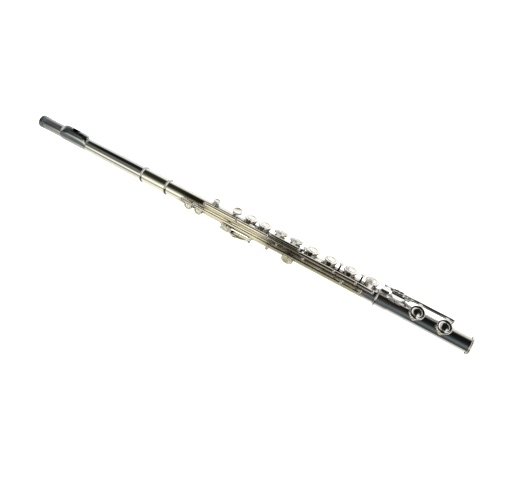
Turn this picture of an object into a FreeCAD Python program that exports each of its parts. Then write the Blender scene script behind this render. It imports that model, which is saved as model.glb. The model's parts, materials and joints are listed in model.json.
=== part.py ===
"""A concert flute in C with closed-hole keys, offset G and a C foot, in millimetres.

The frame: the tube runs along X, with the foot's open end at x = 0 and the crown near x = -667.
+Z is up, through the centres of the main tone holes.  The player stands on the -Y side.
A place round the tube is an angle in degrees from +Z, positive towards the player (-Y).
Every key is built shut, with its cup over +Z, then turned to its place and, if it stands open, opened.
"""

import FreeCAD, Part
import math
import os

V = FreeCAD.Vector
X_AXIS = V(1, 0, 0)
CENTRE = V(0, 0, 0)

# ---- tube ----
TUBE_R = 9.9
BORE_R = 9.5
GAP = 0.03                      # running clearance of every bearing
BODY_START, BODY_END = -461.0, -110.3
BARREL_START, BARREL_END, BARREL_R = -482.0, -439.0, 10.4
RING_R = 11.8
SOCKET_START, SOCKET_END, SOCKET_R = -125.3, -107.8, 10.7
FOOT_START, FOOT_END = -110.0, 0.0

# ---- head ----
HEAD_END = -657.5
HEAD_R = 8.85
HEAD_WALL = 0.4
TENON_R = TUBE_R - 0.04
TENON_START, TENON_END = -484.0, -462.0
TAPER_START = -585.0
HEAD_ROLL = 13.0                # the blow hole is turned this far towards the player
EMBOUCHURE_X = -602.6
LIP_LENGTH, LIP_RISE, LIP_WALL = 45.0, 4.0, 0.8
BLOW_LENGTH, BLOW_WIDTH = 12.2, 10.2
LIP_EDGE_RISE = 1.3              # height of the lip plate's two ends over the tube
LIP_TURN = 42.0                 # middle of the plate's wrap, counted from the blow hole
LIP_FLATNESS = 5.0              # the higher, the flatter the plate's top along the tube
LIP_CORNER, LIP_DEPTH = 5.0, -0.9       # the outline's corners, and how far it wraps past half way
RISER_WALL = 1.3
STOPPER_X = EMBOUCHURE_X - 17.3
STOPPER_CORK = 22.0
STOPPER_TRAVEL = 1.5            # how far turning the crown can shift the stopper, each way
STOPPER_SCREW_R = 2.0
CROWN_LENGTH, CROWN_WALL, CROWN_PLUG = 9.0, 1.2, 5.0
CROWN_END = HEAD_END - CROWN_LENGTH

# ---- hinges ----
HINGE_R = 17.6                  # distance of a steel from the tube's centre
HINGE_TURN = 59.3               # angle between a cup and its steel
HINGE_TUBE_R = 2.3
STEEL_R = 1.2
INNER_TUBE_R = 1.75
MAIN_TURN = HINGE_TURN          # place of the main steel round the body
C_SHARP_TURN = 10.0             # the small C sharp hole leans towards the player
G_TURN = -14.0                  # the two G cups are offset away from the player
TRILL_TURN, TRILL_HINGE_R, TRILL_CUP_TURN = 87.0, 17.7, 114.0
TRILL_ROD_R, TRILL_TUBE_R = 1.15, 1.7
SMALL_STEEL_R, SMALL_TUBE_R = 0.85, 1.6      # the G sharp and thumb hinges
GSHARP_TURN, GSHARP_ROD_TURN, GSHARP_HINGE_R = 126.0, 73.0, 15.5
THUMB_TURN, THUMB_ROD_TURN, THUMB_HINGE_R = 124.0, 168.0, 15.0
FOOT_CUP_TURN = 51.0
FOOT_ROD_TURN = FOOT_CUP_TURN - HINGE_TURN
EB_CUP_TURN = FOOT_ROD_TURN - HINGE_TURN

# ---- cups and holes ----
HOLE_TOP = 11.8                 # height of a tone hole's rim above the tube's centre line
HOLE_WALL = 0.45
RIM_BEAD = 0.5
CUP_R, CUP_WALL = 9.3, 0.6
PAD_THICK, PAD_PROUD = 2.4, 0.8
SEAT = HOLE_TOP + 0.03          # height of a shut pad's face
CUP_RIM = SEAT + PAD_PROUD
CUP_CEILING = SEAT + PAD_THICK
CUP_RISE = 2.4                  # height of a cup's rounded edge above its rim
OPEN_DEG = 8.5                  # how far a key stands open
ARM_WIDTH = 3.8
POST_THICK, POST_FOOT_R, POST_WAIST_R = 3.0, 2.0, 1.0
RIB_THICK = 0.8
RIB_WIDTH, SMALL_RIB_WIDTH = 5.6, 5.0
SPRING_R = 0.28
LEVER_X, LEVER_R = -232.9, 13.4     # where the G sharp lever crosses over the tube
ROLLER_R = 2.0
ROLLER_BORE = 0.5
ROLLER_SPAN = (-109.0, -95.4)
SHARP_ROLLER_TURN, LOW_ROLLER_TURN = -42.5, -28.5   # counted from the foot cups
EAR = 1.4                       # thickness of the ears that carry a roller's pin

# hole name: (x, angle round the tube, hole radius)
BODY_HOLES = {
    "c_sharp": (-365.0, C_SHARP_TURN, 3.3),
    "thumb": (-337.0, THUMB_TURN, 6.0),
    "b_flat": (-312.0, 0.0, 6.9),
    "a": (-291.1, 0.0, 6.9),
    "g_upper": (-268.3, G_TURN, 6.9),
    "g_lower": (-245.5, G_TURN, 6.9),
    "g_sharp": (-245.0, GSHARP_TURN, 6.0),
    "f_sharp": (-220.6, 0.0, 7.1),
    "f": (-194.4, 0.0, 7.1),
    "e": (-166.6, 0.0, 7.1),
    "d": (-137.1, 0.0, 7.1),
    "d_trill": (-382.0, TRILL_CUP_TURN, 3.8),
    "d_sharp_trill": (-398.2, TRILL_CUP_TURN, 3.8),
}
FOOT_HOLES = {
    "e_flat": (-101.6, EB_CUP_TURN, 6.8),
    "low_c_sharp": (-73.3, FOOT_CUP_TURN, 7.1),
    "low_c": (-38.5, FOOT_CUP_TURN, 7.1),
}
SMALL_CUP_R, TRILL_CUP_R, SIDE_CUP_R = 4.9, 6.1, 8.3
THUMB_PLATE_INNER = (-5.7, 9.95)  # (y, z) of both thumb plates' edge next to the tube, before turning
C_TOUCH_X, C_TOUCH_R, C_TOUCH_TILT = -332.6, 6.9, 13.0
THUMB_TOUCH, THUMB_FLAT_TOUCH = (-330.0, -318.2), (-317.8, -304.0)
C_TOUCH_LOW = 14.8              # height of the button's underside above the tube's centre line
EB_TOUCH = (-123.6, -112.8)
EB_PLATE = [(18.5, 18), (18.1, 26), (17.5, 35), (16.8, 44)]     # (radius, angle from its steel) down the touch
TRILL_TOUCHES = {"d_sharp_trill": -150.3, "d_trill": -180.4}

# ---- along the tube ----
# pillar x positions, and the span of each key's hinge tube
MAIN_POSTS = [-375.5, -326.0, -184.6, -154.2, -131.1]
BEARING_POST = -281.0
MAIN_RIBS = [(-379.0, -321.5), (-285.0, -277.0), (-189.0, -127.5)]
G_POSTS = [-277.9, -236.1]
GSHARP_POSTS = [-265.0, -227.0]
THUMB_POSTS = [-347.0, -302.3]
TRILL_POSTS = [-389.6, -170.5]
TRILL_END_POSTS = [-407.4, -144.6]
TRILL_GUIDE_X = -275.0
TRILL_COLLARS = [(-402.0, -394.5), (-153.4, -147.2)]
D_TRILL_TUBE = (-387.5, -173.0)
FOOT_POSTS = [-120.4, -91.6, -31.0]
C_SHARP_TUBE = (-373.9, -327.6)
B_FLAT_COLLAR = (-324.4, -304.6)
B_FLAT_END = (-231.3, -228.4)
A_TUBE = (-304.5, -282.6)
G_TUBE = (-276.3, -237.7)
G_SHARP_TUBE = (-263.4, -228.6)
F_SHARP_TUBE = (-228.3, -208.1)
F_TUBE = (-208.0, -186.2)
E_TUBE = (-183.0, -155.8)
D_TUBE = (-152.6, -132.7)
THUMB_B_TUBE = (-345.4, -318.1)
THUMB_B_FLAT_TUBE = (-318.0, -303.9)
EB_TUBE = (-118.8, -93.3)
LOW_C_SHARP_TUBE = (-86.2, -62.0)
LOW_C_INNER = (-90.0, -32.6)
LOW_C_COLLAR = (-61.9, -32.6)
PIVOT_SCREW_R = 1.6
SMALL_BALL = SMALL_TUBE_R + 0.3


# ---------------------------------------------------------------- plain shapes
def rod(radius, start, end, y=0.0, z=0.0):
    return Part.makeCylinder(radius, end - start, V(start, y, z), X_AXIS)


def pipe(outer, inner, start, end, y=0.0, z=0.0):
    return rod(outer, start, end, y, z).cut(rod(inner, start - 1, end + 1, y, z))


def box(x, y, z):
    """A box between two limits on each axis."""
    return Part.makeBox(x[1] - x[0], y[1] - y[0], z[1] - z[0], V(x[0], y[0], z[0]))


def upright_edges(shape):
    return [e for e in shape.Edges if abs(e.tangentAt(e.FirstParameter).z) > 0.9]


def turned(shape, degrees):
    """The shape turned about the tube's centre line, from +Z towards -Y."""
    copy = shape.copy()
    copy.rotate(CENTRE, X_AXIS, degrees)
    return copy


def on_circle(radius, degrees):
    """(y, z) of a place round the tube."""
    a = math.radians(degrees)
    return -radius * math.sin(a), radius * math.cos(a)


def joined(*shapes):
    first, *rest = shapes
    return first.fuse(rest).removeSplitter() if rest else first


def arc(p, q, r):
    return Part.Arc(V(*p), V(*q), V(*r)).toShape()


def line(p, q):
    return Part.LineSegment(V(*p), V(*q)).toShape()


def spun(edges, axis_point, axis):
    """The solid made by turning a closed outline about an axis."""
    face = Part.Face(Part.Wire(edges))
    return face.revolve(axis_point, axis, 360)


def plate(points, x_start, x_end):
    """A prism along X from a polygon of (y, z) points."""
    corners = [V(x_start, y, z) for y, z in points]
    outline = Part.makePolygon(corners + corners[:1])
    return Part.Face(outline).extrude(V(x_end - x_start, 0, 0))


def bent_bar(points, thick, x_start, x_end):
    """A bar of even thickness along a path of (y, z) points, with round ends and corners."""
    parts = []
    for (y0, z0), (y1, z1) in zip(points, points[1:]):
        length = math.hypot(y1 - y0, z1 - z0)
        ny, nz = -(z1 - z0) / length * thick / 2, (y1 - y0) / length * thick / 2
        side = [(y0 + ny, z0 + nz), (y1 + ny, z1 + nz), (y1 - ny, z1 - nz), (y0 - ny, z0 - nz)]
        parts.append(plate(side, x_start, x_end))
    for y, z in points:
        parts.append(rod(thick / 2, x_start, x_end, y, z))
    return joined(*parts)


# ---------------------------------------------------------------- tubes and holes
def chimney(x, turn, radius):
    """The drawn wall of one tone hole with its rolled rim, and the drill that opens it."""
    wall = Part.makeCylinder(radius + HOLE_WALL, HOLE_TOP - RIM_BEAD - 4, V(x, 0, 4))
    bead = Part.makeTorus(radius + HOLE_WALL / 2 + 0.1, RIM_BEAD, V(x, 0, HOLE_TOP - RIM_BEAD))
    drill = Part.makeCylinder(radius, HOLE_TOP, V(x, 0, 2))
    return turned(wall, turn), turned(bead, turn), turned(drill, turn)


def drilled_tube(start, end, holes):
    made = [chimney(*hole) for hole in holes.values()]
    solid = rod(TUBE_R, start, end).fuse([wall for wall, _, _ in made])
    solid = solid.fuse([bead for _, bead, _ in made])
    return solid.cut([rod(BORE_R, start - 1, end + 1)] + [drill for _, _, drill in made])


def bead_ring(start, end, inner, outer):
    """A moulded ring: a plain sleeve with a half-round bead along it."""
    half = (end - start) / 2
    edges = [
        line((start, 0, inner), (start, 0, outer - half * 0.6)),
        arc((start, 0, outer - half * 0.6), (start + half, 0, outer), (end, 0, outer - half * 0.6)),
        line((end, 0, outer - half * 0.6), (end, 0, inner)),
        line((end, 0, inner), (start, 0, inner)),
    ]
    return spun(edges, CENTRE, X_AXIS)


# ---------------------------------------------------------------- head joint
def head_outline(offset):
    """Radius profile of the head tube at a depth under its outer face: edges from crown to tenon."""
    crown_r, tenon_r = HEAD_R - offset, TENON_R - offset
    middle = (TAPER_START + TENON_START) / 2
    return [
        line((HEAD_END, 0, crown_r), (TAPER_START, 0, crown_r)),
        arc((TAPER_START, 0, crown_r), (middle, 0, (crown_r + tenon_r) / 2 + 0.12), (TENON_START, 0, tenon_r)),
        line((TENON_START, 0, tenon_r), (TENON_END, 0, tenon_r)),
    ]


def head_solid(offset):
    """The head tube's outer form as a full solid, at a depth under its outer face."""
    edges = head_outline(offset)
    edges.append(line((TENON_END, 0, TENON_R - offset), (TENON_END, 0, 0)))
    edges.append(line((TENON_END, 0, 0), (HEAD_END, 0, 0)))
    edges.append(line((HEAD_END, 0, 0), (HEAD_END, 0, HEAD_R - offset)))
    return spun(edges, CENTRE, X_AXIS)


def blow_prism(grow, low, high):
    """The blow hole's rounded outline as an upright prism, grown outward by an amount."""
    length, width = BLOW_LENGTH + 2 * grow, BLOW_WIDTH + 2 * grow
    corner = width * 0.42
    prism = box((EMBOUCHURE_X - length / 2, EMBOUCHURE_X + length / 2), (-width / 2, width / 2), (low, high))
    return prism.makeFillet(corner, upright_edges(prism))


def lip_form(radius):
    """The lip plate's saddle: upright ovals along the tube whose tops rise to the blow hole."""
    stations = 13
    wires = []
    for i in range(stations):
        share = -1 + 2 * i / (stations - 1)
        x = EMBOUCHURE_X + share * (LIP_LENGTH / 2 + 0.5)
        rise = LIP_EDGE_RISE + (LIP_RISE - LIP_EDGE_RISE) * (1 - abs(share) ** LIP_FLATNESS)
        wires.append(Part.Wire([
            arc((x, -radius, 0), (x, 0, -radius), (x, radius, 0)),
            line((x, radius, 0), (x, radius, rise)),
            arc((x, radius, rise), (x, 0, radius + rise), (x, -radius, rise)),
            line((x, -radius, rise), (x, -radius, 0)),
        ]))
    return Part.makeLoft(wires, True)


def lip_window():
    """What trims the lip plate to a blunt oblong that wraps a little more than half the tube."""
    half = LIP_LENGTH / 2
    reach = HEAD_R + LIP_WALL + 0.7
    block = box((EMBOUCHURE_X - half, EMBOUCHURE_X + half), (-reach, reach), (LIP_DEPTH, 30))
    return turned(block.makeFillet(LIP_CORNER, upright_edges(block)), LIP_TURN)


def head_joint():
    tube = head_solid(0).cut([head_solid(HEAD_WALL), blow_prism(0, 0, 20)])
    tube = tube.cut(rod(HEAD_R - HEAD_WALL, HEAD_END - 1, HEAD_END + 1))
    tube = tube.cut(rod(TENON_R - HEAD_WALL, TENON_END - 1, TENON_END + 1))
    lip_skin = HEAD_R + LIP_WALL - 0.1
    form, hollow = lip_form(lip_skin), lip_form(lip_skin - LIP_WALL)
    lip = form.cut([hollow, blow_prism(0, 0, 30), head_solid(0)]).common(lip_window())
    lip = max(lip.Solids, key=lambda s: s.Volume)
    riser = blow_prism(RISER_WALL, 2, 18).common(hollow).cut([head_solid(0), blow_prism(0, 0, 30)])
    riser = max(riser.Solids, key=lambda s: s.Volume)
    made = {"head_tube": tube, "lip_plate": lip, "riser": riser}
    return {name: turned(shape, HEAD_ROLL) for name, shape in made.items()}


def crown_and_stopper():
    crown_r, thread_r = HEAD_R + 0.25, STOPPER_SCREW_R + 0.3
    floor = CROWN_END + CROWN_WALL * 2
    face = [
        line((HEAD_END - GAP, 0, thread_r), (HEAD_END - GAP, 0, crown_r)),
        line((HEAD_END - GAP, 0, crown_r), (CROWN_END + 1.4, 0, crown_r)),
        arc((CROWN_END + 1.4, 0, crown_r), (CROWN_END + 0.4, 0, crown_r - 0.4), (CROWN_END, 0, crown_r - 1.4)),
        arc((CROWN_END, 0, crown_r - 1.4), (CROWN_END - 0.35, 0, crown_r / 2), (CROWN_END - 0.5, 0, 0.6)),
        line((CROWN_END - 0.5, 0, 0.6), (CROWN_END - 0.5, 0, 0)),
        line((CROWN_END - 0.5, 0, 0), (floor, 0, 0)),
        line((floor, 0, 0), (floor, 0, thread_r)),
        line((floor, 0, thread_r), (HEAD_END - GAP, 0, thread_r)),
    ]
    crown = spun(face, CENTRE, X_AXIS)
    crown = crown.fuse(pipe(HEAD_R - HEAD_WALL - 0.05, 6.0, HEAD_END - 1, HEAD_END + CROWN_PLUG))
    groove = Part.makeTorus(crown_r + 0.1, 0.35, V(HEAD_END - 2.2, 0, 0), X_AXIS)
    cork_end = STOPPER_X - 1.0
    cork_start = cork_end - STOPPER_CORK
    plate_r = HEAD_R - HEAD_WALL - 0.25
    screw = joined(
        rod(plate_r, cork_end, STOPPER_X),
        rod(STOPPER_SCREW_R, floor + STOPPER_TRAVEL + 0.2, cork_end + 0.5),
        rod(plate_r, cork_start - 1.2, cork_start),
    )
    cork = pipe(HEAD_R - HEAD_WALL - 0.02, STOPPER_SCREW_R + 0.02, cork_start + 0.01, cork_end - 0.01)
    return {"crown": crown.cut(groove), "stopper_screw": screw, "stopper_cork": cork}


# ---------------------------------------------------------------- posts, ribs, steels, springs
def post(x, turn, hinge_r=HINGE_R, hole=STEEL_R + 0.01, ball=HINGE_TUBE_R + 0.1, foot=TUBE_R + RIB_THICK):
    """One pillar: a round base, a waisted stem and a flat-sided ball bored for the steel."""
    half = POST_THICK / 2
    stem_top = hinge_r - ball * 0.7
    base = foot - 0.5
    waist, neck = POST_WAIST_R, POST_WAIST_R + 0.2
    profile = [
        line((x, 0, base), (x + POST_FOOT_R, 0, base)),
        line((x + POST_FOOT_R, 0, base), (x + POST_FOOT_R, 0, foot + 0.6)),
        arc((x + POST_FOOT_R, 0, foot + 0.6), (x + waist + 0.15, 0, foot + 1.3), (x + waist, 0, foot + 2.6)),
        line((x + waist, 0, foot + 2.6), (x + neck, 0, stem_top)),
        line((x + neck, 0, stem_top), (x, 0, stem_top)),
        line((x, 0, stem_top), (x, 0, base)),
    ]
    stem = spun(profile, V(x, 0, 0), V(0, 0, 1))
    head = Part.makeSphere(ball, V(x, 0, hinge_r)).common(box((x - half, x + half), (-5, 5), (0, 30)))
    made = joined(stem, head).cut([rod(hole, x - 5, x + 5, 0, hinge_r), rod(foot, x - 5, x + 5)])
    return turned(made, turn)


def rib(start, end, turn, width):
    """A strap that lies on the tube and carries pillars."""
    strap = pipe(TUBE_R + RIB_THICK, TUBE_R, start, end)
    block = box((start, end), (-width / 2, width / 2), (5, 15))
    block = block.makeFillet(width * 0.45, upright_edges(block))
    return turned(strap.common(block), turn)


def spring(x, turn, length, hinge_r=HINGE_R):
    """A needle spring that stands out of a pillar's stem, beside the steel."""
    way = math.copysign(1, length)
    root = V(x + way * 1.25, 0, hinge_r - 3.0)
    needle = Part.makeCone(SPRING_R, SPRING_R * 0.4, abs(length), root, V(way, 0, 0))
    return turned(needle, turn)


def rib_group(ribs, holes):
    """Straps joined where they meet, kept clear of the tone-hole walls."""
    walls = []
    for x, turn, radius in holes.values():
        walls.append(turned(Part.makeCylinder(radius + HOLE_WALL + 0.6, 30, V(x, 0, 0)), turn))
    return joined(*ribs).cut(walls)


def trill_pivot(x, outward):
    """A slotted screw in a pillar that carries one end of the long trill rod."""
    y, z = on_circle(TRILL_HINGE_R, TRILL_TURN)
    limits = sorted((x + outward * 2.1, x - outward * 1.5))
    screw = rod(PIVOT_SCREW_R - 0.01, limits[0], limits[1], y, z)
    end = x + outward * 2.1
    return screw.cut(box((end - 0.5, end + 0.5), (y - 2, y + 2), (z - 0.2, z + 0.2)))


def trill_guide():
    """A bent bracket that steadies the trill tube half way along."""
    start, end = TRILL_GUIDE_X - 1.6, TRILL_GUIDE_X + 1.6
    path = [on_circle(10.6, 122.0), on_circle(15.6, 117.0), on_circle(TRILL_HINGE_R, TRILL_TURN)]
    bracket = bent_bar(path, 2.8, start, end)
    y, z = path[-1]
    bracket = bracket.fuse(rod(TRILL_TUBE_R + 0.9, start, end, y, z))
    return bracket.cut([rod(TRILL_TUBE_R + GAP, start - 1, end + 1, y, z), rod(TUBE_R, start - 1, end + 1)])


def body_fixed():
    g_rod_turn = G_TURN + HINGE_TURN
    pillars = [post(x, MAIN_TURN) for x in MAIN_POSTS]
    pillars.append(post(BEARING_POST, MAIN_TURN, hole=INNER_TUBE_R + GAP, ball=2.7))
    pillars += [post(x, g_rod_turn) for x in G_POSTS]
    small = {"hole": SMALL_STEEL_R + 0.01, "ball": SMALL_BALL}
    pillars += [post(x, GSHARP_ROD_TURN, GSHARP_HINGE_R, **small) for x in GSHARP_POSTS]
    pillars += [post(x, THUMB_ROD_TURN, THUMB_HINGE_R, **small) for x in THUMB_POSTS]
    pillars += [post(x, TRILL_TURN, TRILL_HINGE_R, hole=TRILL_ROD_R + GAP) for x in TRILL_POSTS]
    pillars += [post(x, TRILL_TURN, TRILL_HINGE_R, hole=PIVOT_SCREW_R) for x in TRILL_END_POSTS]
    pillars.append(trill_guide())
    ribs = [rib(start, end, MAIN_TURN, RIB_WIDTH) for start, end in MAIN_RIBS]
    ribs += [rib(x - 3.4, x + 3.4, g_rod_turn, RIB_WIDTH) for x in G_POSTS]
    ribs += [rib(x - 3.4, x + 3.4, GSHARP_ROD_TURN, SMALL_RIB_WIDTH) for x in GSHARP_POSTS]
    ribs += [rib(x - 4, x + 4, THUMB_ROD_TURN, RIB_WIDTH) for x in THUMB_POSTS]
    ribs += [rib(x - 4, x + 4, TRILL_TURN, SMALL_RIB_WIDTH) for x in TRILL_POSTS + TRILL_END_POSTS]
    main_place = on_circle(HINGE_R, MAIN_TURN)
    g_place = on_circle(HINGE_R, g_rod_turn)
    g_sharp_place = on_circle(GSHARP_HINGE_R, GSHARP_ROD_TURN)
    thumb_place = on_circle(THUMB_HINGE_R, THUMB_ROD_TURN)
    main_springs = zip(MAIN_POSTS + [BEARING_POST], (24, 15, -16, -18, -13, -16))
    springs = [spring(x, MAIN_TURN, length) for x, length in main_springs]
    springs.append(spring(G_POSTS[1], g_rod_turn, -20))
    springs.append(spring(THUMB_POSTS[1], THUMB_ROD_TURN, -9, THUMB_HINGE_R + 0.4))
    springs.append(spring(TRILL_END_POSTS[0], TRILL_TURN, 12, TRILL_HINGE_R))
    springs.append(spring(TRILL_POSTS[0], TRILL_TURN, 14, TRILL_HINGE_R))
    trill_screws = [trill_pivot(x, outward) for x, outward in zip(TRILL_END_POSTS, (-1, 1))]
    return {
        "body_tube": drilled_tube(BODY_START, BODY_END, BODY_HOLES),
        "barrel": pipe(BARREL_R, TUBE_R, BARREL_START + 2.6, BARREL_END - 2.6),
        "barrel_rings": Part.makeCompound([
            bead_ring(BARREL_START, BARREL_START + 2.6, TUBE_R, RING_R),
            bead_ring(BARREL_END - 2.6, BARREL_END, TUBE_R, RING_R),
        ]),
        "body_ribs": rib_group(ribs, BODY_HOLES),
        "body_posts": Part.makeCompound(pillars),
        "main_steel": rod(STEEL_R, MAIN_POSTS[0] - 1.5, MAIN_POSTS[-1] + 1.5, *main_place),
        "g_steel": rod(STEEL_R, G_POSTS[0] - 1.5, G_POSTS[1] + 1.5, *g_place),
        "g_sharp_steel": rod(SMALL_STEEL_R, GSHARP_POSTS[0] - 1.5, GSHARP_POSTS[1] + 1.5, *g_sharp_place),
        "thumb_steel": rod(SMALL_STEEL_R, THUMB_POSTS[0] - 1.5, THUMB_POSTS[1] + 1.5, *thumb_place),
        "trill_pivot_screws": Part.makeCompound(trill_screws),
        "body_springs": Part.makeCompound(springs),
    }


def foot_fixed():
    pillars = [post(x, FOOT_ROD_TURN) for x in FOOT_POSTS[1:]]
    pillars.append(post(FOOT_POSTS[0], FOOT_ROD_TURN, foot=SOCKET_R))
    ribs = [rib(x - 4, x + 4, FOOT_ROD_TURN, RIB_WIDTH) for x in FOOT_POSTS[1:]]
    y, z = on_circle(HINGE_R, FOOT_ROD_TURN)
    sleeve = pipe(SOCKET_R, TUBE_R + 0.04, SOCKET_START + 2.4, FOOT_START)
    seat = pipe(SOCKET_R, TUBE_R, FOOT_START, SOCKET_END)
    hole_x, hole_turn, hole_r = FOOT_HOLES["e_flat"]
    notch = turned(Part.makeCylinder(hole_r + HOLE_WALL + 0.7, 30, V(hole_x, 0, 0)), hole_turn)
    spring_places = zip((FOOT_POSTS[1], FOOT_POSTS[1], FOOT_POSTS[2]), (-14, 14, -18))
    springs = [spring(x, FOOT_ROD_TURN, length) for x, length in spring_places]
    return {
        "foot_tube": drilled_tube(FOOT_START, FOOT_END, FOOT_HOLES),
        "foot_socket": joined(sleeve, seat).cut(notch),
        "foot_socket_ring": bead_ring(SOCKET_START, SOCKET_START + 2.4, TUBE_R + 0.04, RING_R + 0.1),
        "foot_end_ring": bead_ring(FOOT_END - 3.0, FOOT_END, TUBE_R, RING_R - 0.1),
        "foot_ribs": rib_group(ribs, FOOT_HOLES),
        "foot_posts": Part.makeCompound(pillars),
        "foot_steel": rod(STEEL_R, FOOT_POSTS[0] - 1.5, FOOT_POSTS[-1] + 1.5, y, z),
        "foot_springs": Part.makeCompound(springs),
    }


# ---------------------------------------------------------------- keys, built shut over +Z
def hinge_place(side=1, hinge_r=HINGE_R, turn=HINGE_TURN):
    """(y, z) of a key's steel; side 1 is the player's side of the cup and -1 the far side."""
    return on_circle(hinge_r, side * turn)


def cup(x, radius):
    """A dished cup: a plain wall, a rounded edge and a raised ring round a shallow hollow."""
    def at(share, height):
        return (x + share * radius, 0, CUP_RIM + height)

    edge, inner = 1 - 0.7 / radius, 1 - CUP_WALL / radius
    ceiling = CUP_CEILING - CUP_RIM
    edges = [
        line(at(inner, 0), at(1, 0)),
        line(at(1, 0), at(1, CUP_RISE - 0.7)),
        arc(at(1, CUP_RISE - 0.7), at(1 - 0.2 / radius, CUP_RISE - 0.2), at(edge, CUP_RISE)),
        arc(at(edge, CUP_RISE), at(0.78, CUP_RISE - 0.06), at(0.64, CUP_RISE - 0.25)),
        arc(at(0.64, CUP_RISE - 0.25), at(0.59, CUP_RISE + 0.12), at(0.54, CUP_RISE - 0.25)),
        arc(at(0.54, CUP_RISE - 0.25), at(0.3, CUP_RISE - 0.4), at(0.06, CUP_RISE - 0.45)),
        line(at(0.06, CUP_RISE - 0.45), at(0, CUP_RISE - 0.45)),
        line(at(0, CUP_RISE - 0.45), at(0, ceiling)),
        line(at(0, ceiling), at(inner, ceiling)),
        line(at(inner, ceiling), at(inner, 0)),
    ]
    return spun(edges, V(x, 0, 0), V(0, 0, 1))


def pad(x, radius):
    """A felt pad in its skin, with a rounded edge, that fills a cup of this radius."""
    pad_r = radius - CUP_WALL - 0.05
    disc = Part.makeCylinder(pad_r, PAD_THICK - 0.02, V(x, 0, SEAT))
    low_edge = [e for e in disc.Edges if e.Length > 1 and abs(e.BoundBox.ZMax - SEAT) < 1e-6]
    return disc.makeFillet(0.5, low_edge)


def cavity(x, radius):
    """The room inside a cup for its pad."""
    return Part.makeCylinder(radius - CUP_WALL, CUP_CEILING - 8, V(x, 0, 8))


def side_arm(x, radius, side=1):
    """The arm from a hinge tube up to the wall of its cup, wider at the cup."""
    y, z = hinge_place(side)
    way = -side
    wall_y = way * (radius - 0.45)
    high, low = CUP_RIM + CUP_RISE - 0.75, CUP_RIM + 0.15
    outer_root = (y - way * HINGE_TUBE_R * 0.35, z + HINGE_TUBE_R * 0.92)
    inner_root = (y + way * HINGE_TUBE_R * 0.4, z - 0.1)
    profile = [outer_root, (wall_y, high), (wall_y, low), inner_root]
    half, wide = ARM_WIDTH / 2, ARM_WIDTH * 0.8
    narrow = plate(profile, x - half, x + half)
    flare = [V(x - half, y), V(x + half, y), V(x + wide, wall_y), V(x - wide, wall_y)]
    spread = Part.Face(Part.makePolygon(flare + flare[:1])).extrude(V(0, 0, 30))
    broad = plate(profile, x - ARM_WIDTH, x + ARM_WIDTH)
    return broad.common(spread).fuse(narrow)


def hinge_tube(start, end, side=1):
    """A hinge tube as a plain rod, before it is bored for its steel."""
    y, z = hinge_place(side)
    return rod(HINGE_TUBE_R, start, end, y, z)


def bored(shape, bore, side=1, hinge_r=HINGE_R, turn=HINGE_TURN):
    """The shape with the bore for its steel run right through."""
    y, z = hinge_place(side, hinge_r, turn)
    return shape.cut(rod(bore, -480, 20, y, z))


def opened(shape, degrees, side=1, hinge_r=HINGE_R, turn=HINGE_TURN):
    """The key lifted off its hole about its own steel."""
    y, z = hinge_place(side, hinge_r, turn)
    copy = shape.copy()
    copy.rotate(V(0, y, z), X_AXIS, side * degrees)
    return copy


def stack_key(x_cups, tube_span, turn, extras=(), bore=STEEL_R + GAP, standing=OPEN_DEG, side=1):
    """A key with one or more cups on one hinge tube, and its pads: (key, pads) in place."""
    parts = [hinge_tube(*tube_span, side=side)]
    for x in x_cups:
        parts += [side_arm(x, CUP_R, side), cup(x, CUP_R)]
    key = bored(joined(*parts, *extras), bore, side=side)
    pads = Part.makeCompound([pad(x, CUP_R) for x in x_cups])
    return [turned(opened(shape, standing, side=side), turn) for shape in (key, pads)]


def touch_disc(x, y, radius, low, thick):
    """A round finger button with a rounded edge and a shallow hollow."""
    top = low + thick
    edges = [
        line((x, y, low), (x + radius, y, low)),
        line((x + radius, y, low), (x + radius, y, top - 0.7)),
        arc((x + radius, y, top - 0.7), (x + radius - 0.2, y, top - 0.2), (x + radius - 0.7, y, top)),
        arc((x + radius - 0.7, y, top), (x + radius * 0.5, y, top - 0.4), (x + 0.6, y, top - 0.55)),
        line((x + 0.6, y, top - 0.55), (x, y, top - 0.55)),
        line((x, y, top - 0.55), (x, y, low)),
    ]
    return spun(edges, V(x, y, 0), V(0, 0, 1))


def kicker(x_start, x_end):
    """A small flat lug on a hinge tube's inner side, through which one key carries its neighbour."""
    y, z = hinge_place()
    return box((x_start, x_end), (y + 0.9, y + 4.2), (z + 1.2, z + 2.4))


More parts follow.
